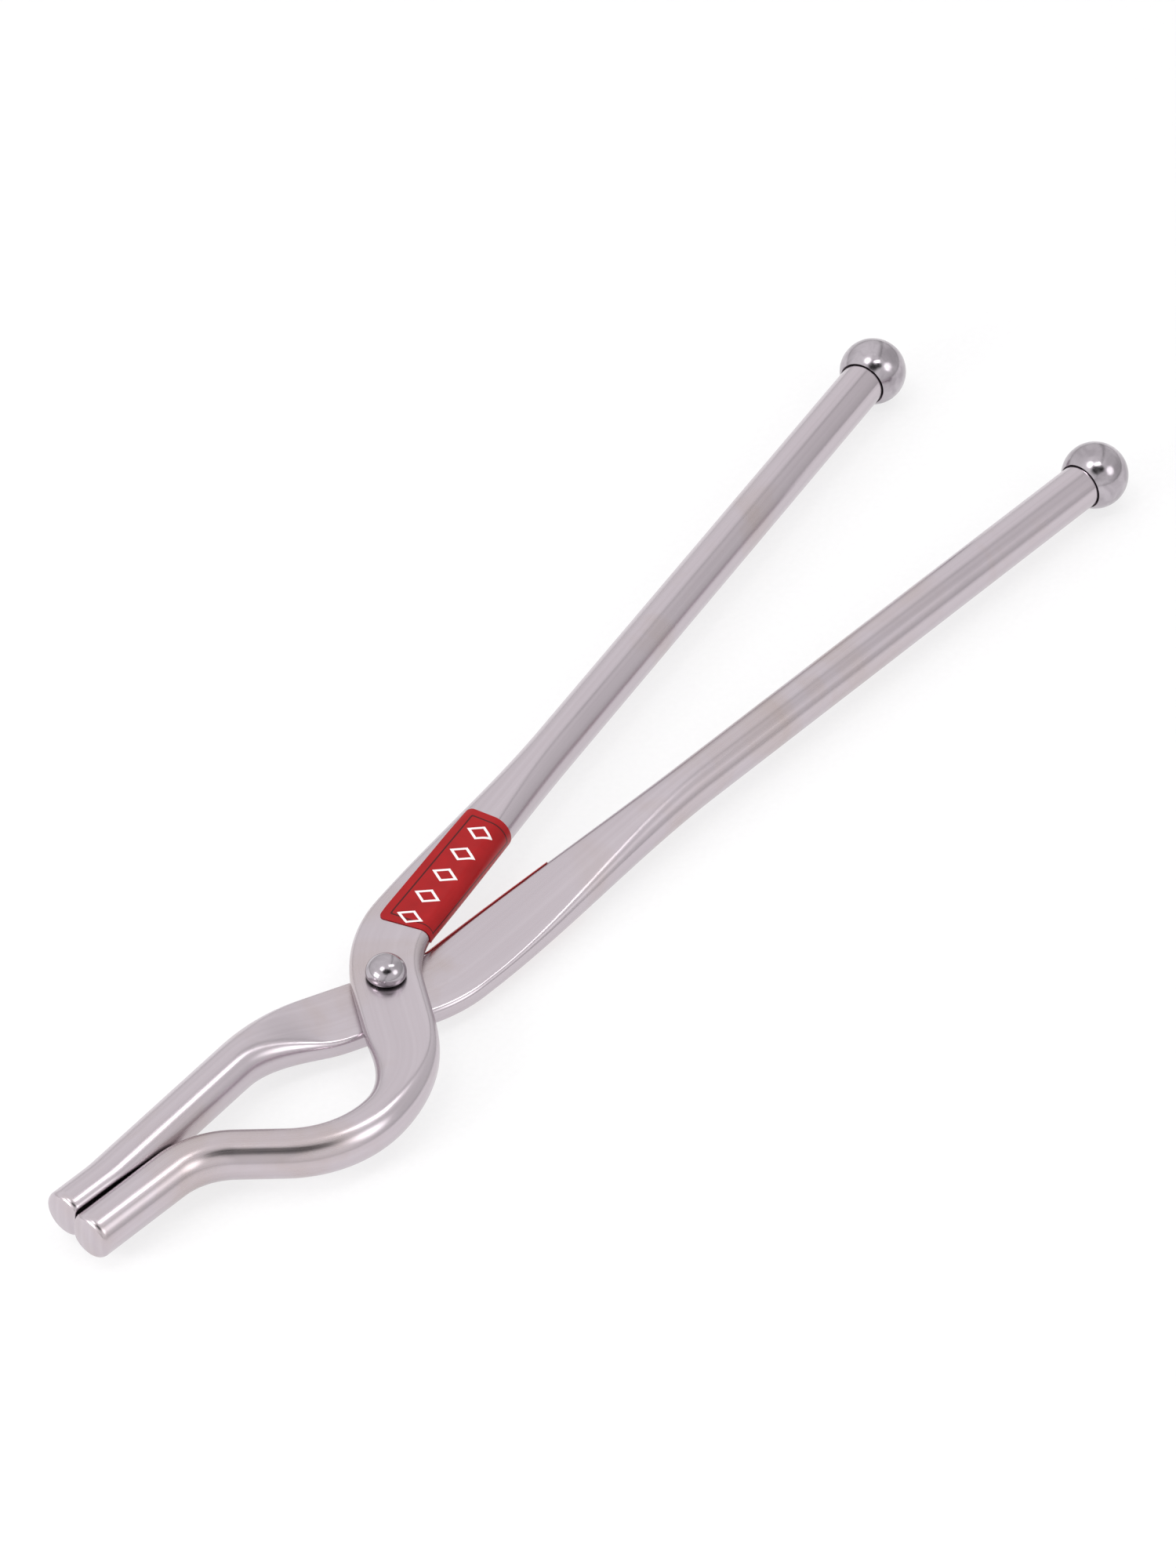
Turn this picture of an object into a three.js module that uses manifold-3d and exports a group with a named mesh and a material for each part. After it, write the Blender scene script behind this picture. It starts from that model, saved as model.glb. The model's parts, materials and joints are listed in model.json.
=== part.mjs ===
// Ball-ended tube pincers: two bent steel tubes, pressed flat where they cross and riveted there.
// The jaws point along -X, the handles along +X, the pincers lie flat on z = 0.

import * as THREE from 'three';
import { mergeVertices } from 'three/addons/utils/BufferGeometryUtils.js';
import Module from 'manifold-3d';

const wasm = await Module();
wasm.setup();

// Tube
const TUBE_RADIUS = 4;
const WALL = 0.9;
const TUBE_SIDES = 24;
const BORE_SIDES = 12;

// Hinge line, measured from the middle of the pincers' underside
const PIVOT = new THREE.Vector3(-55.31, -12.94, 5.9);

// Each arm is bent in one plane: the corners its centre line would have, and the bend radius at each.
const LABELLED_CORNERS = [[-70.9, -3.3], [-47.6, -3.3], [-21.6, -30.4], [4.7, 6.3], [172.6, 43.6]];
const LABELLED_BENDS = [14.5, 19.3, 22.5];
const PLAIN_CORNERS = [[-70, 2.95], [-62, 2.95], [-21, 6.9], [8, -4.6], [177, -3.6]];
const PLAIN_BENDS = [25, 35, 21.5];

// Pressing: half width and half thickness of the flat, how far its middle is moved up, and the
// distances from the jaw end where the pressing starts, is full, starts to fade and is gone.
const LABELLED_PRESS = { halfWidth: 5.9, halfHeight: 1.65, lift: 1.8, from: 54.9, full: 74.9, fade: 96.9, gone: 150.9 };
const PLAIN_PRESS = { halfWidth: 6.3, halfHeight: 1.9, lift: -2.05, from: 40, full: 61, fade: 86, gone: 144 };

// Jaws: the inner faces are pressed flat against each other
const JAW_GAP = 0.3;
const JAW_ZONE = -30;

// End plugs
const PLUG_LIP = 1;
const PLUG_GAP = 0.3;
const PLUG_DEPTH = 4;
const PLUG_CLEARANCE = 0.15;

// Balls on the handle ends, bored to take the tube
const BALL_RADIUS = 5.9;
const SOCKET_RADIUS = 4.3;
const SOCKET_BOTTOM = 1;
const TUBE_STOP = 1.4;

// Rivet
const RIVET_RADIUS = 2;
const RIVET_CLEARANCE = 0.1;
const HEAD_RADIUS = 3.4;
const HEAD_HEIGHT = 3.7;
const TAIL_HEIGHT = 1.75;
const HEAD_SEAT = 3.65;
const TAIL_SEAT = -4.15;

// Stickers: length, how far each reaches to both sides of the arm's middle line, and its thickness
const STICKER = { from: 10, to: 39.5, outer: 3.1, inner: 8.1, lift: 0.1, thickness: 0.15 };

const BEND_STEP = 2.4;
const PRESS_STEP = 5;
const LONG_STEP = 20;

const steel = new THREE.MeshStandardMaterial({ color: 0xcbc5c7, roughness: 0.22, metalness: 1 });
const brightSteel = new THREE.MeshStandardMaterial({ color: 0xd6d4d5, roughness: 0.1, metalness: 1 });
const redPaper = new THREE.MeshStandardMaterial({ color: 0xc0202a, roughness: 0.45, metalness: 0 });

// A centre line made of straight legs joined by round bends
function bendLine(corners, radii) {
  const points = corners.map(([x, y]) => new THREE.Vector2(x, y));
  const legs = [];
  let start = points[0];
  radii.forEach((radius, i) => {
    const corner = points[i + 1];
    const arriving = corner.clone().sub(points[i]).normalize();
    const leaving = points[i + 2].clone().sub(corner).normalize();
    const turn = Math.atan2(arriving.cross(leaving), arriving.dot(leaving));
    const setback = radius * Math.tan(Math.abs(turn) / 2);
    const bendStart = corner.clone().addScaledVector(arriving, -setback);
    legs.push({ start, heading: arriving.angle(), turn: 0, length: start.distanceTo(bendStart) });
    legs.push({ start: bendStart, heading: arriving.angle(), turn, length: radius * Math.abs(turn) });
    start = corner.clone().addScaledVector(leaving, setback);
  });
  const last = points[points.length - 1];
  const heading = last.clone().sub(start).angle();
  legs.push({ start, heading, turn: 0, length: start.distanceTo(last) });
  return legs;
}

function lineLength(legs) {
  return legs.reduce((total, leg) => total + leg.length, 0);
}

// Place and heading at a distance along the centre line
function placeAt(legs, distance) {
  let left = distance;
  let leg = legs[0];
  for (const next of legs) {
    leg = next;
    if (left <= leg.length) break;
    if (next !== legs[legs.length - 1]) left -= leg.length;
  }
  if (leg.turn === 0) {
    const x = leg.start.x + left * Math.cos(leg.heading);
    const y = leg.start.y + left * Math.sin(leg.heading);
    return { x, y, heading: leg.heading };
  }
  const curl = leg.turn / leg.length;
  const heading = leg.heading + curl * left;
  const x = leg.start.x + (Math.sin(heading) - Math.sin(leg.heading)) / curl;
  const y = leg.start.y - (Math.cos(heading) - Math.cos(leg.heading)) / curl;
  return { x, y, heading };
}

// The section of the arm at a distance: where it is, which way it faces and how far it is pressed
function sectionAt(arm, distance) {
  const { press } = arm;
  const rise = THREE.MathUtils.smoothstep(distance, press.from, press.full);
  const fall = THREE.MathUtils.smoothstep(distance, press.fade, press.gone);
  const amount = rise * (1 - fall);
  const place = placeAt(arm.legs, distance);
  const halfWidth = THREE.MathUtils.lerp(TUBE_RADIUS, press.halfWidth, amount);
  const halfHeight = THREE.MathUtils.lerp(TUBE_RADIUS, press.halfHeight, amount);
  return { ...place, halfWidth, halfHeight, lift: press.lift * amount };
}

// Sets a point given across and up from the section's middle into the pincers. Inside the jaws it
// stops at the flat gripping face, less the depth it lies under the skin.
function setPoint(arm, section, across, up, depth) {
  const x = section.x - across * Math.sin(section.heading);
  const y = section.y + across * Math.cos(section.heading);
  const face = JAW_GAP / 2 + Math.max(depth, 0);
  const gripped = x < JAW_ZONE ? arm.side * Math.max(arm.side * y, face) : y;
  return [x, gripped, section.lift + up];
}

// Round stock to pressed stock: the sides keep their roundness, the middle spreads
function pressRound(arm, section, across, up) {
  const radius = Math.hypot(across, up);
  const depth = TUBE_RADIUS - radius;
  const ratio = (section.halfHeight - depth) / radius;
  const spread = Math.sign(across) * (section.halfWidth - section.halfHeight);
  return setPoint(arm, section, across * ratio + spread, up * ratio, depth);
}

// Flat sheet wrapped on the arm: around is the way along the skin from the middle line
function wrapSheet(arm, section, around, lift) {
  const flat = section.halfWidth - section.halfHeight;
  const beyond = Math.max(Math.abs(around) - flat, 0);
  const angle = beyond / section.halfHeight;
  const reach = section.halfHeight + lift;
  const across = Math.sign(around) * (Math.min(Math.abs(around), flat) + reach * Math.sin(angle));
  return setPoint(arm, section, across, arm.side * -reach * Math.cos(angle), 0);
}

// Distances at which the arm's sections are cut: close in the bends, wider in the straights
function stationList(arm, from, to, extra = []) {
  const ends = [from, to, ...extra];
  let distance = 0;
  for (const leg of arm.legs) {
    distance += leg.length;
    ends.push(distance);
  }
  ends.push(...['from', 'full', 'fade', 'gone'].map((key) => arm.press[key]));
  const inside = ends.filter((end) => end >= from && end <= to).sort((a, b) => a - b);
  const stops = inside.filter((end, i) => i === 0 || end - inside[i - 1] > 0.5);
  const stations = [stops[0]];
  for (let i = 1; i < stops.length; i += 1) {
    const span = stops[i] - stops[i - 1];
    const middle = (stops[i] + stops[i - 1]) / 2;
    const bent = placeAt(arm.legs, middle + 0.1).heading !== placeAt(arm.legs, middle - 0.1).heading;
    const pressed = middle > arm.press.from && middle < arm.press.gone;
    const step = bent ? BEND_STEP : pressed ? PRESS_STEP : LONG_STEP;
    const count = Math.ceil(span / step);
    for (let k = 1; k <= count; k += 1) stations.push(stops[i - 1] + (span * k) / count);
  }
  return stations;
}

// Moves every corner of a geometry with one rule
function reshape(geometry, rule) {
  const position = geometry.attributes.position;
  for (let i = 0; i < position.count; i += 1) {
    position.setXYZ(i, ...rule(position.getX(i), position.getY(i), position.getZ(i)));
  }
  return geometry;
}

function ringOutline(radius, sides, Outline) {
  const points = [];
  for (let i = 0; i < sides; i += 1) {
    const angle = ((i + 0.5) * 2 * Math.PI) / sides;
    points.push(new THREE.Vector2(radius * Math.cos(angle), radius * Math.sin(angle)));
  }
  return new Outline(points);
}

function toManifold(geometry) {
  const bare = geometry.clone();
  bare.deleteAttribute('normal');
  bare.deleteAttribute('uv');
  const merged = mergeVertices(bare, 1e-5);
  const mesh = new wasm.Mesh({
    numProp: 3,
    vertProperties: new Float32Array(merged.attributes.position.array),
    triVerts: new Uint32Array(merged.index.array),
  });
  return new wasm.Manifold(mesh);
}

function fromManifold(solid) {
  const mesh = solid.getMesh();
  const geometry = new THREE.BufferGeometry();
  geometry.setAttribute('position', new THREE.BufferAttribute(mesh.vertProperties, 3));
  geometry.setIndex(new THREE.BufferAttribute(mesh.triVerts, 1));
  geometry.computeVertexNormals();
  return geometry;
}

// The arm: a straight tube first, then pressed, bent and drilled for the rivet
function armGeometry(arm) {
  const outline = ringOutline(TUBE_RADIUS / Math.cos(Math.PI / TUBE_SIDES), TUBE_SIDES, THREE.Shape);
  outline.holes.push(ringOutline(TUBE_RADIUS - WALL, BORE_SIDES, THREE.Path));
  const stations = stationList(arm, 0, arm.length - TUBE_STOP);
  const steps = stations.length - 1;
  const tube = new THREE.ExtrudeGeometry(outline, { depth: steps, steps, bevelEnabled: false });
  const sections = stations.map((distance) => sectionAt(arm, distance));
  reshape(tube, (x, y, z) => pressRound(arm, sections[Math.round(z)], x, y));
  const drill = new THREE.CylinderGeometry(
    RIVET_RADIUS + RIVET_CLEARANCE, RIVET_RADIUS + RIVET_CLEARANCE, 30, TUBE_SIDES);
  drill.rotateX(Math.PI / 2);
  return fromManifold(toManifold(tube).subtract(toManifold(drill)));
}

// Plug closing the jaw end: a lip with a rounded rim and a spigot inside the bore
function plugGeometry(arm) {
  const spigot = TUBE_RADIUS - WALL - PLUG_CLEARANCE - 0.1;
  const profile = [
    [0, -PLUG_GAP - PLUG_LIP], [TUBE_RADIUS - 0.8, -PLUG_GAP - PLUG_LIP],
    [TUBE_RADIUS - 0.23, -PLUG_GAP - PLUG_LIP + 0.23], [TUBE_RADIUS, -PLUG_GAP - PLUG_LIP + 0.8],
    [TUBE_RADIUS, -PLUG_GAP], [spigot, -PLUG_GAP], [spigot, PLUG_DEPTH], [0, PLUG_DEPTH],
  ].map(([radius, along]) => new THREE.Vector2(radius, along));
  const plug = new THREE.LatheGeometry(profile, TUBE_SIDES, Math.PI / TUBE_SIDES, Math.PI * 2);
  const mouth = sectionAt(arm, 0);
  return reshape(plug, (x, y, z) => {
    const radius = Math.hypot(x, z);
    const along = {
      ...mouth,
      x: mouth.x + y * Math.cos(mouth.heading),
      y: mouth.y + y * Math.sin(mouth.heading),
    };
    return setPoint(arm, along, z, x, TUBE_RADIUS - radius);
  });
}

// Sticker lying on the arm's open side and turned round its inner edge
function stickerGeometry(arm) {
  const fromMouth = (x) => {
    let distance = arm.press.full;
    while (placeAt(arm.legs, distance).x < x) distance += 0.1;
    return distance;
  };
  const from = fromMouth(STICKER.from);
  const to = fromMouth(STICKER.to);
  const stations = stationList(arm, from, to);
  const steps = stations.length - 1;
  const width = STICKER.outer + STICKER.inner;
  const sheet = new THREE.BoxGeometry(width, STICKER.thickness, steps, 24, 1, steps);
  const sections = stations.map((distance) => sectionAt(arm, distance));
  const middle = (arm.side * (STICKER.inner - STICKER.outer)) / 2;
  return reshape(sheet, (x, y, z) => {
    const section = sections[Math.round(z + steps / 2)];
    const lift = STICKER.lift + STICKER.thickness / 2 - arm.side * y;
    return wrapSheet(arm, section, x + middle, lift);
  });
}

// Ball turned about the handle's axis, with a blind socket for the tube
function ballGeometry() {
  const profile = [new THREE.Vector2(0, -SOCKET_BOTTOM), new THREE.Vector2(SOCKET_RADIUS, -SOCKET_BOTTOM)];
  const mouth = Math.asin(SOCKET_RADIUS / BALL_RADIUS);
  const rings = 14;
  for (let i = 0; i <= rings; i += 1) {
    const angle = THREE.MathUtils.lerp(Math.PI - mouth, 0, i / rings);
    profile.push(new THREE.Vector2(BALL_RADIUS * Math.sin(angle), BALL_RADIUS * Math.cos(angle)));
  }
  return new THREE.LatheGeometry(profile, TUBE_SIDES, Math.PI / TUBE_SIDES, Math.PI * 2);
}

// Rivet with a high dome above and a flatter one below
function rivetGeometry() {
  const profile = [];
  const rings = 6;
  for (let i = 0; i <= rings; i += 1) {
    const angle = (i / rings) * (Math.PI / 2);
    profile.push(new THREE.Vector2(HEAD_RADIUS * Math.sin(angle), TAIL_SEAT - TAIL_HEIGHT * Math.cos(angle)));
  }
  profile.push(new THREE.Vector2(RIVET_RADIUS, TAIL_SEAT));
  profile.push(new THREE.Vector2(RIVET_RADIUS, HEAD_SEAT));
  for (let i = 0; i <= rings; i += 1) {
    const angle = (1 - i / rings) * (Math.PI / 2);
    profile.push(new THREE.Vector2(HEAD_RADIUS * Math.sin(angle), HEAD_SEAT + HEAD_HEIGHT * Math.cos(angle)));
  }
  return new THREE.LatheGeometry(profile, TUBE_SIDES, Math.PI / TUBE_SIDES, Math.PI * 2);
}

function piece(name, geometry, material) {
  const mesh = new THREE.Mesh(geometry, material.clone());
  mesh.name = name;
  return mesh;
}

// One half of the pincers: arm, end plug, ball and sticker
function half(name, side, corners, radii, press) {
  const legs = bendLine(corners, radii);
  const arm = { side, legs, press, length: lineLength(legs) };
  const group = new THREE.Group();
  group.name = `${name}_half`;
  const end = placeAt(legs, arm.length);
  const ball = piece(`${name}_ball`, ballGeometry(), brightSteel);
  ball.position.set(end.x, end.y, 0);
  ball.rotation.z = end.heading - Math.PI / 2;
  group.add(piece(`${name}_arm`, armGeometry(arm), steel));
  group.add(piece(`${name}_jaw_plug`, plugGeometry(arm), steel));
  group.add(piece(`${name}_sticker`, stickerGeometry(arm), redPaper));
  group.add(ball);
  return group;
}

function pincers() {
  const all = new THREE.Group();
  all.name = 'tube_pincers';
  const hinge = new THREE.Group();
  hinge.position.copy(PIVOT);
  hinge.add(half('upper', -1, LABELLED_CORNERS, LABELLED_BENDS, LABELLED_PRESS));
  hinge.add(half('lower', 1, PLAIN_CORNERS, PLAIN_BENDS, PLAIN_PRESS));
  const rivet = piece('rivet', rivetGeometry(), brightSteel);
  rivet.rotation.x = Math.PI / 2;
  hinge.add(rivet);
  all.add(hinge);
  return all;
}

export default pincers();
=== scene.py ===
import json
import math

import bmesh
import bpy
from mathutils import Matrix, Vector


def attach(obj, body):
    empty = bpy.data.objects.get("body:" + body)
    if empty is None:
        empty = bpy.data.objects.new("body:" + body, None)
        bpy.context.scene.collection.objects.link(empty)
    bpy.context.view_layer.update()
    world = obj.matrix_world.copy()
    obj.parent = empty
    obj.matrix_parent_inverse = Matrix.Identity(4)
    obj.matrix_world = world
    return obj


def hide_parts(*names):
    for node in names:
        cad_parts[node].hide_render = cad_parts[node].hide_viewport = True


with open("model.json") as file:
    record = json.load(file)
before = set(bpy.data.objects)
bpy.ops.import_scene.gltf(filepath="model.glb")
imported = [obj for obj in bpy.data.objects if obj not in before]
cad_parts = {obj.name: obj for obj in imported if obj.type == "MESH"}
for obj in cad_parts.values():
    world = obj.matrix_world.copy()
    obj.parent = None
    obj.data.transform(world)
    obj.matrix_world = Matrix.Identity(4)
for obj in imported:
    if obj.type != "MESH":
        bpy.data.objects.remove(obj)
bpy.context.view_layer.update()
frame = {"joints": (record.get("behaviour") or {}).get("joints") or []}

mm = 0.001
hinge = Vector(frame["joints"][0]["pos_m"])   # the rivet's middle, every arm is laid out from here
scene = bpy.context.scene
print("frame loaded")

# The camera stands over the jaw side.
cameraSetup = {
    "aim": (58.66, 8.83, 0.0),   # mm from the rivet
    "turn": -47.95,              # degrees, which way is right in the view
    "elevation": 42.7,
    "distance": 1300,
    "lens": 178.6,
}


def makeCamera():
    turn = math.radians(cameraSetup["turn"])
    tilt = math.radians(cameraSetup["elevation"])
    right = Vector((math.cos(turn), math.sin(turn), 0))
    ahead = Vector((-math.sin(turn), math.cos(turn), 0))
    look = ahead * math.cos(tilt) - Vector((0, 0, math.sin(tilt)))
    data = bpy.data.cameras.new("benchCamera")
    data.lens = cameraSetup["lens"]
    data.sensor_width = 36
    data.clip_start = 0.01
    data.clip_end = 30
    cam = bpy.data.objects.new("benchCamera", data)
    scene.collection.objects.link(cam)
    aim = hinge + Vector(cameraSetup["aim"]) * mm
    cam.location = aim - look * cameraSetup["distance"] * mm
    cam.rotation_mode = "QUATERNION"
    cam.rotation_quaternion = look.to_track_quat("-Z", "Y")
    scene.camera = cam
    return right, ahead


rightWay, awayWay = makeCamera()
print("camera placed")


def colour(code, alpha=1.0):
    # sRGB hex to linear
    parts = [int(code[i:i + 2], 16) / 255 for i in (1, 3, 5)]
    return [p / 12.92 if p <= 0.04045 else ((p + 0.055) / 1.055) ** 2.4 for p in parts] + [alpha]


def addNode(tree, kind, settings=None, links=None):
    # settings go to the node or to its sockets, links say which output feeds a socket
    node = tree.nodes.new(kind)
    for key, value in (settings or {}).items():
        if isinstance(key, str) and hasattr(node, key):
            setattr(node, key, value)
        else:
            node.inputs[key].default_value = value
    for key, source in (links or {}).items():
        tree.links.new(source, node.inputs[key])
    return node


def newMaterial(name):
    material = bpy.data.materials.new(name)
    material.use_nodes = True
    material.node_tree.nodes.clear()
    return material, material.node_tree


def finishMaterial(tree, shader):
    addNode(tree, "ShaderNodeOutputMaterial", None, {"Surface": shader.outputs[0]})


def softMax(a, b, blend):
    return (a + b + math.sqrt((a - b) ** 2 + blend ** 2)) / 2


def smoothStep(low, high, x):
    t = min(max((x - low) / (high - low), 0), 1)
    return t * t * (3 - 2 * t)


def mix(a, b, t):
    return a + (b - a) * t


def makePiece(name, bm, material, body, nodes):
    for edge in bm.edges:
        edge.smooth = len(edge.link_faces) < 2 or edge.calc_face_angle() < math.radians(sharpAngle)
    mesh = bpy.data.meshes.new(name)
    bm.to_mesh(mesh)
    bm.free()
    mesh.materials.append(material)
    piece = bpy.data.objects.new(name, mesh)
    scene.collection.objects.link(piece)
    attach(piece, body)
    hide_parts(*nodes)
    return piece


tube = {
    "radius": 4.0,
    "sides": 96,
    "jawGap": 0.16,       # mm between the closed jaws behind their tips
    "tipGap": 0.45,       # mm between them at the very end
    "jawZone": -30.0,
    "stopBeforeBall": 1.4,
    "headStep": 1.0,      # mm between rings in the bent part
    "handleStep": 3.0,
    "stepMargin": 4,      # mm past the pressing where the close rings end
    "tipFrom": -73, "tipTo": -48,   # mm, the jaws close up between these
    "gripBlend": 0.3,     # mm, rounding where the round skin meets the gripping face
    "girth": 25.13,       # mm round the tube, for the lines on its skin
}
sharpAngle = 38           # degrees, flatter edges than this are shaded round

tubeSteel = {
    "light": "#cbc2c8",      # stainless keeps a slightly warm grey under white light
    "dark": "#bbb1b7",
    "lineWidth": 0.35,       # mm between polishing lines, coarser than the real 0.1 so they show
    "lineLength": 30,        # mm
    "bandWidth": 1.3,        # mm, faint bands left by the polishing belt
    "smudge": 22,            # mm, size of the wiped patches
    "warm": "#b7a69e",       # faint brown heat tint and polish residue
    "roughLow": 0.17,
    "roughHigh": 0.30,
    "pit": "#5d5559",
    "slotShade": "#4a4546",       # painted shade: the gripping faces in the slot between the closed jaws are darkened
    "slotShadeNear": 0.14,        # mm from the plane between the jaws, full painted shade
    "slotShadeFar": 0.4,
    "slotShadeStrength": 0.85,
    "bandLength": 160,       # mm
    "pitLong": 60, "pitWide": 20,   # mm between pits
    "pitCore": 0.010, "pitEdge": 0.022,
    "scratch": 0.07,         # how deep the lines look
}


def polishedTubeSteel():
    # stainless tube, belt polished along its length: long soft reflections broken into fine lines
    material, tree = newMaterial("polishedTubeSteel")
    s = tubeSteel
    skin = addNode(tree, "ShaderNodeUVMap", {"uv_map": "alongAround"})
    place = addNode(tree, "ShaderNodeTexCoord")
    lines = addNode(tree, "ShaderNodeMapping",
                    {"Scale": (1 / s["lineLength"], 1 / s["lineWidth"], 1)},
                    {"Vector": skin.outputs["UV"]})
    lineNoise = addNode(tree, "ShaderNodeTexNoise", {"Scale": 1.0, "Detail": 3.0, "Roughness": 0.6},
                        {"Vector": lines.outputs[0]})
    bands = addNode(tree, "ShaderNodeMapping",
                    {"Scale": (1 / s["bandLength"], 1 / s["bandWidth"], 1)},
                    {"Vector": skin.outputs["UV"]})
    bandNoise = addNode(tree, "ShaderNodeTexNoise", {"Scale": 1.0, "Detail": 2.0, "Roughness": 0.5},
                        {"Vector": bands.outputs[0]})
    smudge = addNode(tree, "ShaderNodeTexNoise",
                     {"Scale": 1000 / s["smudge"], "Detail": 4.0, "Roughness": 0.55,
                      "Distortion": 0.4},
                     {"Vector": place.outputs["Object"]})
    toneMix = addNode(tree, "ShaderNodeMath", {"operation": "MULTIPLY_ADD", 1: 1.1, 2: -0.08},
                      {0: bandNoise.outputs[0]})
    tone = addNode(tree, "ShaderNodeMath", {"operation": "MULTIPLY_ADD", 1: 0.35},
                   {0: smudge.outputs[0], 2: toneMix.outputs[0]})
    base = addNode(tree, "ShaderNodeMix", {"data_type": "RGBA"})
    base.inputs[6].default_value = colour(s["dark"])
    base.inputs[7].default_value = colour(s["light"])
    tree.links.new(tone.outputs[0], base.inputs[0])
    warmMask = addNode(tree, "ShaderNodeMapRange", {1: 0.52, 2: 0.72, 3: 0.0, 4: 0.5},
                       {0: smudge.outputs[0]})
    tinted = addNode(tree, "ShaderNodeMix", {"data_type": "RGBA"})
    tinted.inputs[7].default_value = colour(s["warm"])
    tree.links.new(warmMask.outputs[0], tinted.inputs[0])
    tree.links.new(base.outputs[2], tinted.inputs[6])
    pitPlace = addNode(tree, "ShaderNodeMapping",
                       {"Scale": (1 / s["pitLong"], 1 / s["pitWide"], 1)},
                       {"Vector": skin.outputs["UV"]})
    pits = addNode(tree, "ShaderNodeTexVoronoi", {"feature": "F1", "Scale": 1.0, "Randomness": 1.0},
                   {"Vector": pitPlace.outputs[0]})
    pitMask = addNode(tree, "ShaderNodeMapRange",
                      {1: s["pitCore"], 2: s["pitEdge"], 3: 0.7, 4: 0.0},
                      {0: pits.outputs["Distance"]})
    pitted = addNode(tree, "ShaderNodeMix", {"data_type": "RGBA"})
    pitted.inputs[7].default_value = colour(s["pit"])
    tree.links.new(pitMask.outputs[0], pitted.inputs[0])
    tree.links.new(tinted.outputs[2], pitted.inputs[6])
    # painted shade: the faces beside the slot between the closed jaws are darkened, standing in for
    # the shade deep in the slot
    spot = addNode(tree, "ShaderNodeSeparateXYZ", None, {0: place.outputs["Object"]})
    sideways = addNode(tree, "ShaderNodeMath", {"operation": "SUBTRACT", 1: hinge.y},
                       {0: spot.outputs[1]})
    fromPlane = addNode(tree, "ShaderNodeMath", {"operation": "ABSOLUTE"}, {0: sideways.outputs[0]})
    nearPlane = addNode(tree, "ShaderNodeMapRange",
                        {"interpolation_type": "SMOOTHSTEP", 1: s["slotShadeNear"] * mm,
                         2: s["slotShadeFar"] * mm, 3: s["slotShadeStrength"], 4: 0.0},
                        {0: fromPlane.outputs[0]})
    inJaws = addNode(tree, "ShaderNodeMath",
                     {"operation": "LESS_THAN", 1: hinge.x + tube["jawZone"] * mm},
                     {0: spot.outputs[0]})
    slotShadeMask = addNode(tree, "ShaderNodeMath", {"operation": "MULTIPLY"},
                       {0: nearPlane.outputs[0], 1: inJaws.outputs[0]})
    slotShaded = addNode(tree, "ShaderNodeMix", {"data_type": "RGBA"})
    slotShaded.inputs[7].default_value = colour(s["slotShade"])
    tree.links.new(slotShadeMask.outputs[0], slotShaded.inputs[0])
    tree.links.new(pitted.outputs[2], slotShaded.inputs[6])
    halfSmudge = addNode(tree, "ShaderNodeMath", {"operation": "MULTIPLY", 1: 0.5},
                         {0: smudge.outputs[0]})
    wear = addNode(tree, "ShaderNodeMath", {"operation": "MULTIPLY_ADD", 1: 0.5},
                   {0: lineNoise.outputs[0], 2: halfSmudge.outputs[0]})
    rough = addNode(tree, "ShaderNodeMapRange",
                    {1: 0.3, 2: 0.7, 3: s["roughLow"], 4: s["roughHigh"]}, {0: wear.outputs[0]})
    bump = addNode(tree, "ShaderNodeBump", {"Strength": s["scratch"], "Distance": 0.06 * mm},
                   {"Height": lineNoise.outputs[0]})
    shader = addNode(tree, "ShaderNodeBsdfPrincipled", {"Metallic": 1.0, "Anisotropic": 0.0},
                     {"Base Color": slotShaded.outputs[2], "Roughness": rough.outputs[0],
                      "Normal": bump.outputs[0]})
    finishMaterial(tree, shader)
    return material


rivet = {
    "shank": 2.0,
    "head": 3.4,             # radius of both heads
    "headSeat": 3.46, "headWaist": 0.75, "headHeight": 2.95, "footTuck": 0.45,
    "tailHeight": 1.75, "tailSeat": -4.15,
    "paintedShadeHeight": 4.02,     # mm above the middle, painted shade darkens the rivet below it
}

brightSteel = {
    "light": "#bdb6bc",
    "dark": "#a49da3",
    # painted shade under the rivet's head
    "paintedShade": "#2e2c2c",
    "mottle": 1.6,           # mm, uneven patches left by the buffing wheel
    "marks": 0.25,           # mm between buffing marks
    "roughLow": 0.12,
    "roughHigh": 0.24,
    "paintedShadeBelow": 0.35, "paintedShadeAbove": 0.25,   # mm, how softly the painted shade ends
}


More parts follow.
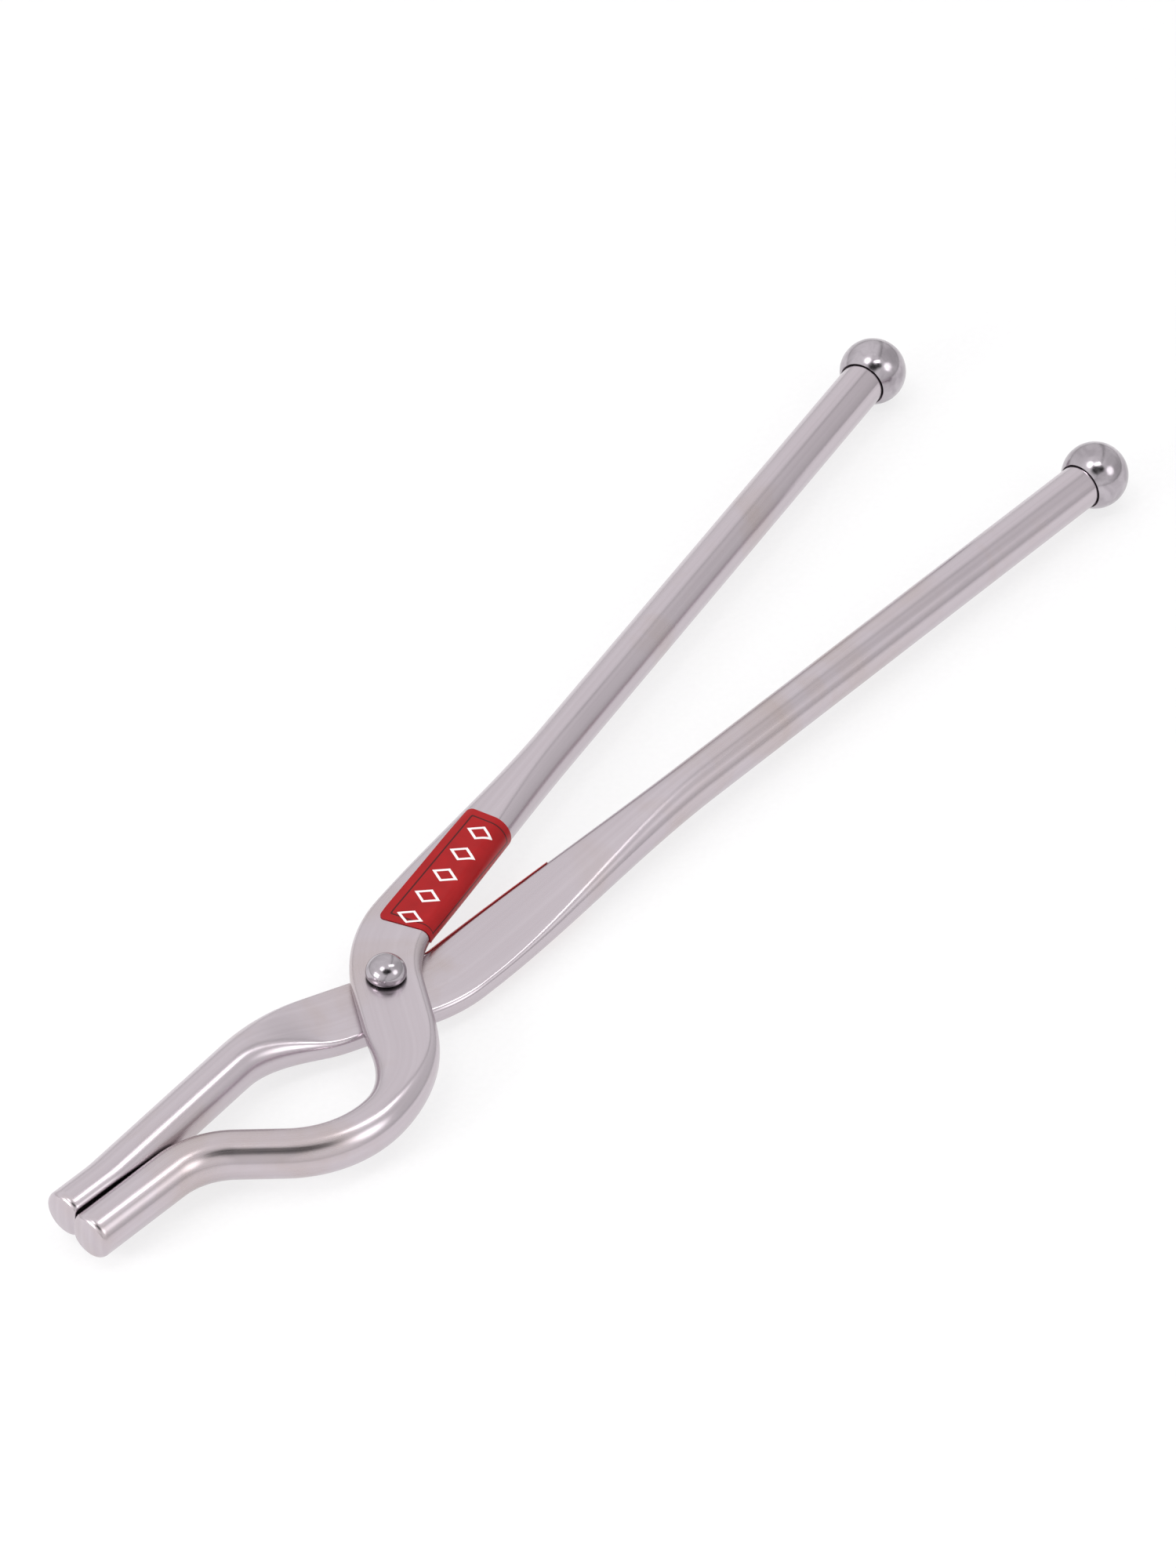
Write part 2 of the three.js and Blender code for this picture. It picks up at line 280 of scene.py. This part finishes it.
def buffedSteel(name, paintedShadeHeight=None):
    # buffed stainless, turned and polished by hand: soft-edged reflections, cloudy patches;
    # the last argument is the height in mm below which painted shade darkens the rivet under its
    # head
    material, tree = newMaterial(name)
    s = brightSteel
    place = addNode(tree, "ShaderNodeTexCoord")
    marks = addNode(tree, "ShaderNodeTexNoise",
                    {"Scale": 1000 / s["marks"] / 4, "Detail": 4.0, "Roughness": 0.6},
                    {"Vector": place.outputs["Object"]})
    cloud = addNode(tree, "ShaderNodeTexNoise",
                    {"Scale": 1000 / s["mottle"] / 2, "Detail": 3.0, "Distortion": 0.5},
                    {"Vector": place.outputs["Object"]})
    tone = addNode(tree, "ShaderNodeMapRange", {1: 0.36, 2: 0.64}, {0: cloud.outputs[0]})
    base = addNode(tree, "ShaderNodeMix", {"data_type": "RGBA"})
    base.inputs[6].default_value = colour(s["dark"])
    base.inputs[7].default_value = colour(s["light"])
    tree.links.new(tone.outputs[0], base.inputs[0])
    surface = base.outputs[2]
    # painted shade: below a set height the rivet's colour is darkened, standing in for the shade
    # under its head
    if paintedShadeHeight is not None:
        split = addNode(tree, "ShaderNodeSeparateXYZ", None, {0: place.outputs["Object"]})
        low = hinge.z + paintedShadeHeight * mm
        paintedShade = addNode(tree, "ShaderNodeMapRange",
                        {"interpolation_type": "SMOOTHSTEP", 1: low - s["paintedShadeBelow"] * mm,
                         2: low + s["paintedShadeAbove"] * mm, 3: 1.0, 4: 0.0},
                        {0: split.outputs[2]})
        underHeadShaded = addNode(tree, "ShaderNodeMix", {"data_type": "RGBA"})
        underHeadShaded.inputs[7].default_value = colour(s["paintedShade"])
        tree.links.new(paintedShade.outputs[0], underHeadShaded.inputs[0])
        tree.links.new(surface, underHeadShaded.inputs[6])
        surface = underHeadShaded.outputs[2]
    rough = addNode(tree, "ShaderNodeMapRange",
                    {1: 0.35, 2: 0.7, 3: s["roughLow"], 4: s["roughHigh"]},
                    {0: marks.outputs[0]})
    bump = addNode(tree, "ShaderNodeBump", {"Strength": 0.05, "Distance": 0.03 * mm},
                   {"Height": cloud.outputs[0]})
    shader = addNode(tree, "ShaderNodeBsdfPrincipled", {"Metallic": 1.0},
                     {"Base Color": surface, "Roughness": rough.outputs[0],
                      "Normal": bump.outputs[0]})
    finishMaterial(tree, shader)
    return material


sticker = {
    "from": 10.0, "to": 39.5,     # mm along X from the rivet
    "outer": 3.1, "inner": 8.1,   # mm along the skin to either side of the arm's middle line
    "lowerReach": 9.5,            # the lower film goes right round the arm's edge
    "corner": 0.9,
    "lift": 0.05,
    "thickness": 0.12,
    "inkLow": "#900309",          # the red print varies a little
    "inkHigh": "#ad0a11",
    "deepRed": "#480509",
    "white": "#f1ecec",
    "frameInset": 1.5,            # mm from the edge to the dark frame line
    "frameLine": 0.28,
    "markPitch": 5.7,             # mm, plain lozenges in a row
    "rowShift": 1.2,              # the row sits this much nearer the rivet
    "markHalfHeight": 2.4,
    "markHalfWidth": 1.7,
    "markLine": 0.55,
    "markSize": 0.85,             # share of the half sizes above
    "markOffset": 0.9,            # mm across the film
    "smallest": 0.4,              # mm, softens the frame line's corners
    "shine": 0.25,
    "cutAlong": 0.75, "cutAcross": 0.3,   # mm between cuts, so that the film wraps smoothly
}


def printedSticker():
    # glossy printed vinyl film: red ground, a darker frame line and a row of plain white lozenges
    material, tree = newMaterial("printedSticker")
    s = sticker
    uv = addNode(tree, "ShaderNodeUVMap", {"uv_map": "sheetPlace"})
    split = addNode(tree, "ShaderNodeSeparateXYZ", None, {0: uv.outputs["UV"]})
    along, across = split.outputs[0], split.outputs[1]

    def calc(operation, a, b=None, c=None):
        node = addNode(tree, "ShaderNodeMath", {"operation": operation})
        for i, value in enumerate((a, b, c)):
            if value is None:
                continue
            if isinstance(value, (int, float)):
                node.inputs[i].default_value = value
            else:
                tree.links.new(value, node.inputs[i])
        return node.outputs[0]

    halfLong = (s["to"] - s["from"]) / 2
    halfWide = (s["outer"] + s["inner"]) / 2
    edgeX = calc("SUBTRACT", halfLong - s["frameInset"], calc("ABSOLUTE", along))
    edgeY = calc("SUBTRACT", halfWide - s["frameInset"], calc("ABSOLUTE", across))
    edge = calc("ABSOLUTE", calc("SMOOTH_MIN", edgeX, edgeY, s["smallest"]))
    frameMask = calc("LESS_THAN", edge, s["frameLine"] / 2)
    # lozenges: repeat along the film, then a sum of distances gives the slanted sides
    placed = calc("ADD", along, s["rowShift"])
    cell = calc("PINGPONG", calc("ADD", placed, s["markPitch"] * 20.5), s["markPitch"] / 2)
    fromMiddle = calc("SUBTRACT", s["markPitch"] / 2, cell)
    offRow = calc("ABSOLUTE", calc("ADD", across, -s["markOffset"]))
    slant = calc("ADD", calc("DIVIDE", fromMiddle, s["markHalfWidth"]),
                 calc("DIVIDE", offRow, s["markHalfHeight"]))
    ring = calc("LESS_THAN", calc("ABSOLUTE", calc("SUBTRACT", slant, s["markSize"])),
                s["markLine"] / s["markHalfWidth"] / 2)
    inside = calc("LESS_THAN", calc("ABSOLUTE", placed), s["markPitch"] * 2.5)
    markMask = calc("MULTIPLY", ring, inside)
    place = addNode(tree, "ShaderNodeTexCoord")
    ink = addNode(tree, "ShaderNodeTexNoise", {"Scale": 300.0, "Detail": 3.0},
                  {"Vector": place.outputs["Object"]})
    ground = addNode(tree, "ShaderNodeMix", {"data_type": "RGBA"})
    ground.inputs[6].default_value = colour(s["inkLow"])
    ground.inputs[7].default_value = colour(s["inkHigh"])
    tree.links.new(ink.outputs[0], ground.inputs[0])
    framed = addNode(tree, "ShaderNodeMix", {"data_type": "RGBA"})
    framed.inputs[7].default_value = colour(s["deepRed"])
    tree.links.new(frameMask, framed.inputs[0])
    tree.links.new(ground.outputs[2], framed.inputs[6])
    marked = addNode(tree, "ShaderNodeMix", {"data_type": "RGBA"})
    marked.inputs[7].default_value = colour(s["white"])
    tree.links.new(markMask, marked.inputs[0])
    tree.links.new(framed.outputs[2], marked.inputs[6])
    rough = addNode(tree, "ShaderNodeMapRange", {1: 0.3, 2: 0.7, 3: 0.28, 4: 0.42},
                    {0: ink.outputs[0]})
    shader = addNode(tree, "ShaderNodeBsdfPrincipled",
                     {"Metallic": 0.0, "Specular IOR Level": s["shine"]},
                     {"Base Color": marked.outputs[2], "Roughness": rough.outputs[0]})
    finishMaterial(tree, shader)
    return material


tubeFinish = polishedTubeSteel()
ballFinish = buffedSteel("buffedSteel")
rivetFinish = buffedSteel("buffedRivetSteel", rivet["paintedShadeHeight"])
stickerFinish = printedSticker()
print("finishes ready")

# Each arm is a straight tube, pressed flat at the rivet and bent. Corners are mm from the rivet,
# from to gone are mm from the jaw end.
upperArm = {
    "side": -1,
    "corners": [(-70.9, -3.3), (-47.6, -3.3), (-21.6, -30.4), (4.7, 6.3), (172.6, 43.6)],
    "bends": [14.5, 19.3, 22.5],
    "halfWidth": 5.9, "halfHeight": 1.65, "lift": 1.8,
    "from": 54.9, "full": 74.9, "fade": 96.9, "gone": 150.9,
    "topCorner": 1.62, "underCorner": 0.8,
}

lowerArm = {
    "side": 1,
    "corners": [(-70, 2.95), (-62, 2.95), (-21, 6.9), (8, -4.6), (177, -3.6)],
    "bends": [25, 35, 21.5],
    "halfWidth": 6.3, "halfHeight": 1.9, "lift": -2.05,
    "from": 40, "full": 61, "fade": 86, "gone": 144,
    "topCorner": 1.0, "underCorner": 1.7,
}


def bendLine(corners, bends):
    # straight legs joined by round bends, each leg is start, heading, turn, length
    points = [Vector(c) for c in corners]
    legs = []
    start = points[0]
    for i, radius in enumerate(bends):
        arriving = (points[i + 1] - points[i]).normalized()
        leaving = (points[i + 2] - points[i + 1]).normalized()
        cross = arriving.x * leaving.y - arriving.y * leaving.x
        turn = math.atan2(cross, arriving.dot(leaving))
        setback = radius * math.tan(abs(turn) / 2)
        bendStart = points[i + 1] - arriving * setback
        heading = math.atan2(arriving.y, arriving.x)
        legs.append((start, heading, 0.0, (bendStart - start).length))
        legs.append((bendStart, heading, turn, radius * abs(turn)))
        start = points[i + 1] + leaving * setback
    last = points[-1] - start
    legs.append((start, math.atan2(last.y, last.x), 0.0, last.length))
    return legs


def placeAt(legs, distance):
    for start, heading, turn, length in legs:
        if distance <= length:
            break
        distance -= length
    else:
        distance += length
    if turn == 0:
        return start + Vector((math.cos(heading), math.sin(heading))) * distance, heading
    curl = turn / length
    now = heading + curl * distance
    chord = Vector((math.sin(now) - math.sin(heading), math.cos(heading) - math.cos(now)))
    return start + chord / curl, now


def armLength(arm):
    return sum(leg[3] for leg in arm["legs"])


def sectionAt(arm, distance):
    place, heading = placeAt(arm["legs"], distance)
    pressing = smoothStep(arm["from"], arm["full"], distance)
    amount = pressing * (1 - smoothStep(arm["fade"], arm["gone"], distance))
    return {
        "place": place, "heading": heading, "amount": amount,
        "halfWidth": mix(tube["radius"], arm["halfWidth"], amount),
        "halfHeight": mix(tube["radius"], arm["halfHeight"], amount),
        "topCorner": mix(tube["radius"], arm["topCorner"], amount),
        "underCorner": mix(tube["radius"], arm["underCorner"], amount),
        "lift": arm["lift"] * amount,
    }


def skinPoint(section, share, proud=0.0):
    # share 0..1 goes round the section from its left side over the top; proud stands off the skin
    quarter = int(share * 4) % 4
    t = share * 4 - int(share * 4)
    if quarter in (1, 3):
        t = 1 - t
    corner = section["topCorner"] if quarter < 2 else section["underCorner"]
    corner = min(corner, section["halfHeight"])
    rise = section["halfHeight"] - corner
    run = section["halfWidth"] - corner
    arc = corner * math.pi / 2
    reach = t * (rise + arc + run)
    if reach <= rise:
        across, up, angle = section["halfWidth"], reach, 0.0
    elif reach <= rise + arc:
        angle = (reach - rise) / corner
        across, up = run + corner * math.cos(angle), rise + corner * math.sin(angle)
    else:
        angle = math.pi / 2
        across, up = run - (reach - rise - arc), section["halfHeight"]
    across += proud * math.cos(angle)
    up += proud * math.sin(angle)
    return across * (1 if quarter in (0, 3) else -1), up * (1 if quarter < 2 else -1)


def settle(arm, section, across, up, depth=0.0, back=0.0):
    # from the section to metres in the frame; the jaws' inner sides stop at the gripping face
    heading = section["heading"]
    x = section["place"].x - across * math.sin(heading) + back * math.cos(heading)
    y = section["place"].y + across * math.cos(heading) + back * math.sin(heading)
    if x < tube["jawZone"]:
        gap = mix(tube["tipGap"], tube["jawGap"], smoothStep(tube["tipFrom"], tube["tipTo"], x))
        y = arm["side"] * softMax(arm["side"] * y, gap / 2 + depth, tube["gripBlend"])
    return hinge + Vector((x, y, section["lift"] + up)) * mm


def ringPlaces(arm, end):
    places = [0.0]
    while places[-1] < end - 0.01:
        bent = places[-1] < arm["gone"] + tube["stepMargin"]
        step = tube["headStep"] if bent else tube["handleStep"]
        places.append(min(places[-1] + step, end))
    return places


def makeArm(name, arm, body):
    arm["legs"] = bendLine(arm["corners"], arm["bends"])
    places = ringPlaces(arm, armLength(arm) - tube["stopBeforeBall"])
    sections = [sectionAt(arm, d) for d in places]
    steps = len(places) - 1
    bm = bmesh.new()
    bmesh.ops.create_cone(bm, segments=tube["sides"], cap_ends=True, radius1=1, radius2=1,
                          depth=steps)
    rails = [e for e in bm.edges if abs(e.verts[0].co.z - e.verts[1].co.z) > 0.5]
    bmesh.ops.subdivide_edges(bm, edges=rails, cuts=steps - 1)
    uv = bm.loops.layers.uv.new("alongAround")
    for face in bm.faces:
        face.smooth = len(face.verts) == 4
        middle = face.calc_center_median()
        facing = math.atan2(middle.y, middle.x) / (2 * math.pi)
        for loop in face.loops:
            co = loop.vert.co
            share = math.atan2(co.y, co.x) / (2 * math.pi)
            share += round(facing - share)
            loop[uv].uv = (places[round(co.z + steps / 2)], share * tube["girth"])
    for vert in bm.verts:
        share = (math.atan2(vert.co.y, vert.co.x) / (2 * math.pi)) % 1
        section = sections[round(vert.co.z + steps / 2)]
        vert.co = settle(arm, section, *skinPoint(section, share))
    bmesh.ops.recalc_face_normals(bm, faces=bm.faces)
    print(name, "arm bent,", steps, "rings")
    return makePiece(name + "Tube", bm, tubeFinish, body, [name + "_arm"])


makeArm("upper", upperArm, "upper_half")
makeArm("lower", lowerArm, "lower_half")


def turnedShape(profile, sides=72):
    # spins a profile of (radius, height) round Z, poles closed
    bm = bmesh.new()
    verts = [bm.verts.new((radius, 0, height)) for radius, height in profile]
    edges = [bm.edges.new(pair) for pair in zip(verts, verts[1:])]
    bmesh.ops.spin(bm, geom=verts + edges, cent=(0, 0, 0), axis=(0, 0, 1), angle=math.radians(360),
                   steps=sides, use_merge=True)
    bmesh.ops.remove_doubles(bm, verts=bm.verts, dist=1e-5)
    bmesh.ops.recalc_face_normals(bm, faces=bm.faces)
    for face in bm.faces:
        face.smooth = True
    return bm


def arcPoints(centre, radius, start, end, steps):
    # angles in degrees from the profile's outward way towards its top
    angles = [math.radians(mix(start, end, i / steps)) for i in range(steps + 1)]
    return [(centre[0] + radius * math.cos(a), centre[1] + radius * math.sin(a)) for a in angles]


plug = {
    "lip": 1.3, "seam": 0.0, "rim": 1.0, "crown": 0.3,
    "spigot": 2.9, "depth": 4,
    "spigotInset": 1.0,      # mm, keeps the spigot inside the tube beside the gripping face
    "cleanPatch": (21, 9),   # mm, a calm part of the tube's pattern
}


def makePlug(name, arm, body):
    # a closed end: slightly crowned face, well rounded rim, spigot in the tube's mouth
    p = plug
    r = tube["radius"]
    face = -p["seam"] - p["lip"]
    profile = [(0, face - p["crown"])]
    profile += [(x, face - p["crown"] * (1 - (x / (r - p["rim"])) ** 2)) for x in (0.8, 1.6, 2.4)]
    profile += arcPoints((r - p["rim"], face + p["rim"]), p["rim"], -90, 0, 8)
    profile += [(r, -p["seam"]), (p["spigot"], -p["seam"])]
    profile += [(p["spigot"], p["depth"]), (0, p["depth"])]
    bm = turnedShape(profile, 96)
    uv = bm.loops.layers.uv.new("alongAround")
    for facet in bm.faces:
        for loop in facet.loops:
            loop[uv].uv = (loop.vert.co.x + p["cleanPatch"][0], loop.vert.co.y + p["cleanPatch"][1])
    mouth = sectionAt(arm, 0)
    for vert in bm.verts:
        co = vert.co.copy()
        onSeam = co.z > -0.01 and math.hypot(co.x, co.y) < p["spigot"] - 0.01
        inset = p["spigotInset"] if co.z > 0.01 or onSeam else 0.0
        vert.co = settle(arm, mouth, co.y, co.x, inset, co.z)
    bmesh.ops.recalc_face_normals(bm, faces=bm.faces)
    return makePiece(name + "JawEnd", bm, tubeFinish, body, [name + "_jaw_plug"])


ball = {"radius": 5.9, "mouth": 4.22, "lipRound": 0.12, "socket": 1.0, "lipTurn": 1.2}


def makeBall(name, arm, body):
    # solid ball on the handle's end, its socket edge leaves a fine dark line round the tube
    b = ball
    mouthAngle = -math.degrees(math.acos(b["mouth"] / b["radius"]))
    profile = [(0, -b["socket"]), (b["mouth"], -b["socket"])]
    edge = -math.sqrt(b["radius"] ** 2 - b["mouth"] ** 2)
    profile += [(b["mouth"], edge + b["lipRound"])]
    profile += arcPoints((0, 0), b["radius"], mouthAngle + b["lipTurn"], 90, 40)
    profile[-1] = (0, b["radius"])
    bm = turnedShape(profile, 72)
    end, heading = placeAt(arm["legs"], armLength(arm))
    ahead = Vector((math.cos(heading), math.sin(heading), 0))
    left = Vector((-math.sin(heading), math.cos(heading), 0))
    centre = hinge + Vector((end.x, end.y, 0)) * mm
    for vert in bm.verts:
        co = vert.co.copy()
        vert.co = centre + (ahead * co.z + left * co.y + Vector((0, 0, 1)) * co.x) * mm
    bmesh.ops.recalc_face_normals(bm, faces=bm.faces)
    return makePiece(name + "Ball", bm, ballFinish, body, [name + "_ball"])


def makeRivet():
    # button head, widest a little above its foot; flatter set head below
    r = rivet
    profile = [(r["head"] * math.sin(math.radians(a)),
                r["tailSeat"] - r["tailHeight"] * math.cos(math.radians(a)))
               for a in range(0, 91, 6)]
    waist = r["headSeat"] + r["headWaist"]
    profile += [(r["shank"], r["tailSeat"]), (r["shank"], r["headSeat"])]
    profile += [(r["head"] - r["footTuck"] * math.sin(math.radians(a)) ** 2,
                 waist - r["headWaist"] * math.sin(math.radians(a))) for a in range(90, 0, -15)]
    profile += [(r["head"] * math.cos(math.radians(a)),
                 waist + r["headHeight"] * math.sin(math.radians(a))) for a in range(0, 91, 5)]
    profile[0] = (0, profile[0][1])
    profile[-1] = (0, profile[-1][1])
    bm = turnedShape(profile, 72)
    for vert in bm.verts:
        vert.co = hinge + vert.co * mm
    bmesh.ops.recalc_face_normals(bm, faces=bm.faces)
    return makePiece("rivetPin", bm, rivetFinish, "lower_half", ["rivet"])


for name, arm, body in (("upper", upperArm, "upper_half"), ("lower", lowerArm, "lower_half")):
    makePlug(name, arm, body)
    makeBall(name, arm, body)
makeRivet()
print("jaw ends, balls and rivet turned")


def makeSticker(name, arm, body):
    # a flat film with rounded corners, cut into narrow strips and wrapped round the arm
    s = sticker
    start = arm["full"]
    while placeAt(arm["legs"], start)[0].x < s["from"]:
        start += 0.1
    inner = s["inner"] if arm["side"] < 0 else s["lowerReach"]
    halfLong = (s["to"] - s["from"]) / 2
    halfWide = (s["outer"] + inner) / 2
    bm = bmesh.new()
    bmesh.ops.create_grid(bm, x_segments=1, y_segments=1, size=1)
    bmesh.ops.scale(bm, vec=(halfLong, halfWide, 1), verts=bm.verts)
    bmesh.ops.bevel(bm, geom=bm.verts[:], offset=s["corner"], segments=5, profile=0.5,
                    affect="VERTICES", material=-1)
    for axis, half, step in ((0, halfLong, s["cutAlong"]), (1, halfWide, s["cutAcross"])):
        count = int(2 * half / step)
        for i in range(1, count):
            where, way = [0, 0, 0], [0, 0, 0]
            where[axis] = -half + 2 * half * i / count
            way[axis] = 1
            whole = bm.verts[:] + bm.edges[:] + bm.faces[:]
            bmesh.ops.bisect_plane(bm, geom=whole, plane_co=where, plane_no=way, dist=1e-5)
    uv = bm.loops.layers.uv.new("sheetPlace")
    for face in bm.faces:
        for loop in face.loops:
            loop[uv].uv = (loop.vert.co.x, loop.vert.co.y * -arm["side"])
    bmesh.ops.solidify(bm, geom=bm.faces[:], thickness=s["thickness"])
    for vert in bm.verts:
        co = vert.co.copy()
        section = sectionAt(arm, start + halfLong + co.x)
        proud = s["lift"] + (s["thickness"] if co.z > -s["thickness"] / 2 else 0.0)
        around = co.y + arm["side"] * (inner - s["outer"]) / 2
        vert.co = settle(arm, section, *wrapPoint(arm, section, around, proud))
    bmesh.ops.recalc_face_normals(bm, faces=bm.faces)
    for face in bm.faces:
        face.smooth = True
    return makePiece(name + "Film", bm, stickerFinish, body, [name + "_sticker"])


def wrapPoint(arm, section, around, proud):
    # around is mm along the skin from the middle of the open face, plus is the arm's left
    near, far = ("topCorner", "underCorner") if arm["side"] < 0 else ("underCorner", "topCorner")
    corner = min(section[near], section["halfHeight"])
    other = min(section[far], section["halfHeight"])
    run = section["halfWidth"] - corner
    reach = abs(around)
    side = 1 if around >= 0 else -1
    height = section["halfHeight"]
    if reach <= run:
        across, up = reach, height + proud
    elif reach <= run + corner * math.pi / 2:
        angle = (reach - run) / corner
        across = run + (corner + proud) * math.sin(angle)
        up = height - corner + (corner + proud) * math.cos(angle)
    else:
        left = reach - run - corner * math.pi / 2
        straight = 2 * height - corner - other
        if left <= straight:
            across, up = section["halfWidth"] + proud, height - corner - left
        else:
            angle = (left - straight) / other
            across = section["halfWidth"] - other + (other + proud) * math.cos(angle)
            up = -height + other - (other + proud) * math.sin(angle)
    return across * side, up * -arm["side"]


makeSticker("upper", upperArm, "upper_half")
makeSticker("lower", lowerArm, "lower_half")
print("stickers wrapped")

studio = {
    "floorSize": 6.0,
    "floorGlow": 0.70,      # the paper is lit from below, so shadows stay faint
    "tentTop": 1.26,
    "tentSide": 1.22,
    "tentRight": 0.95,
    "horizon": 0.66,
    "paperDark": "#8a898a",
    "paperLight": "#939293",
    "fibre": 900.0,         # per metre, grain of the paper
    # directions as (right, away, up), then inner and outer angle in degrees, and level
    "rightSide": ((1, 0.25, 0.35), 10, 60),
    "openings": (((0.30, -0.45, 0.84), 6, 15, 0.06), ((0.02, -0.50, 0.86), 11, 22, 0.03)),
    "glows": (((-0.30, -0.20, 0.93), 6, 13, 4.0), ((0.76, -0.30, 0.56), 8, 16, 3.2)),
    "seamAcross": (0.927, -0.169, -0.336),
    "seamCore": 0.01, "seamEdge": 0.09, "seamLevel": 0.58,
}
lamps = {   # place, size, power in watts, where it points
    "windowRight": ((0.085, -0.086, 0.342), (0.06, 0.15), 0.11, (-0.12, -0.01, 0.0)),
    "windowLeft": ((-0.60, 0.13, 0.24), (0.22, 0.16), 1.6, (-0.05, -0.01, 0.0)),
}


def makeFloor():
    bm = bmesh.new()
    bmesh.ops.create_grid(bm, x_segments=8, y_segments=8, size=studio["floorSize"] / 2)
    mesh = bpy.data.meshes.new("paperFloor")
    bm.to_mesh(mesh)
    bm.free()
    floor = bpy.data.objects.new("paperFloor", mesh)
    scene.collection.objects.link(floor)
    material, tree = newMaterial("backlitPaper")
    place = addNode(tree, "ShaderNodeTexCoord")
    fibre = addNode(tree, "ShaderNodeTexNoise", {"Scale": studio["fibre"], "Detail": 2.0},
                    {"Vector": place.outputs["Object"]})
    tint = addNode(tree, "ShaderNodeMix", {"data_type": "RGBA"})
    tint.inputs[6].default_value = colour(studio["paperDark"])
    tint.inputs[7].default_value = colour(studio["paperLight"])
    tree.links.new(fibre.outputs[0], tint.inputs[0])
    shader = addNode(tree, "ShaderNodeBsdfPrincipled",
                     {"Roughness": 0.9, "Emission Color": (1, 1, 1, 1),
                      "Emission Strength": studio["floorGlow"]},
                     {"Base Color": tint.outputs[2]})
    finishMaterial(tree, shader)
    mesh.materials.append(material)


def makeLight(name, place, size, power, aimAt):
    data = bpy.data.lights.new(name, "AREA")
    data.shape = "RECTANGLE"
    data.size, data.size_y = size
    data.energy = power
    lamp = bpy.data.objects.new(name, data)
    scene.collection.objects.link(lamp)
    lamp.location = Vector(place)
    way = Vector(aimAt) - lamp.location
    lamp.rotation_mode = "QUATERNION"
    lamp.rotation_quaternion = way.to_track_quat("-Z", "Y")
    lamp.visible_camera = False
    return lamp


def makeBackdrop():
    # white tent: even above, dimmer to the right, grey where it meets the floor
    world = bpy.data.worlds.new("tent")
    scene.world = world
    world.use_nodes = True
    tree = world.node_tree
    tree.nodes.clear()
    place = addNode(tree, "ShaderNodeTexCoord")
    way = place.outputs["Generated"]
    split = addNode(tree, "ShaderNodeSeparateXYZ", None, {0: way})

    def direction(parts):
        return rightWay * parts[0] + awayWay * parts[1] + Vector((0, 0, parts[2]))

    def facing(towards):
        return addNode(tree, "ShaderNodeVectorMath",
                       {"operation": "DOT_PRODUCT", 1: tuple(towards)}, {0: way}).outputs["Value"]

    def spot(parts, inner, outer, level):
        # factor that goes from 1 to level inside a cone round a direction, angles in degrees
        return addNode(tree, "ShaderNodeMapRange",
                       {"interpolation_type": "SMOOTHSTEP", 1: math.cos(math.radians(outer)),
                        2: math.cos(math.radians(inner)), 3: 1.0, 4: level},
                       {0: facing(direction(parts).normalized())}).outputs[0]

    def times(a, b):
        return addNode(tree, "ShaderNodeMath", {"operation": "MULTIPLY"}, {0: a, 1: b}).outputs[0]

    ramp = addNode(tree, "ShaderNodeValToRGB", None, {0: split.outputs[2]})
    stops = ramp.color_ramp.elements
    s = studio
    levels = [(0.0, s["horizon"]), (0.035, s["horizon"] + 0.1), (0.12, s["tentSide"] * 0.9),
              (0.4, s["tentSide"]), (1.0, s["tentTop"])]
    while len(stops) < len(levels):
        stops.new(0.5)
    for stop, (where, level) in zip(stops, levels):
        stop.position = where
        stop.color = (level, level, level, 1)
    # the seam between two tent panels runs overhead, away from the camera
    offSeam = addNode(tree, "ShaderNodeMath", {"operation": "ABSOLUTE"},
                      {0: facing(direction(s["seamAcross"]))})
    seam = addNode(tree, "ShaderNodeMapRange",
                   {"interpolation_type": "SMOOTHSTEP", 1: s["seamCore"], 2: s["seamEdge"],
                    3: s["seamLevel"], 4: 1.0}, {0: offSeam.outputs[0]}).outputs[0]
    factors = [spot(*s["rightSide"], s["tentRight"] / s["tentSide"]), seam]
    factors += [spot(*one) for one in s["openings"] + s["glows"]]
    level = ramp.outputs[0]
    for factor in factors:
        level = times(level, factor)
    light = addNode(tree, "ShaderNodeBackground", None, {"Strength": level})
    addNode(tree, "ShaderNodeOutputWorld", None, {"Surface": light.outputs[0]})


makeFloor()
makeBackdrop()
for lampName, lamp in lamps.items():
    makeLight(lampName, *lamp)
scene.view_settings.view_transform = "Standard"
scene.view_settings.look = "None"
print("studio lit")
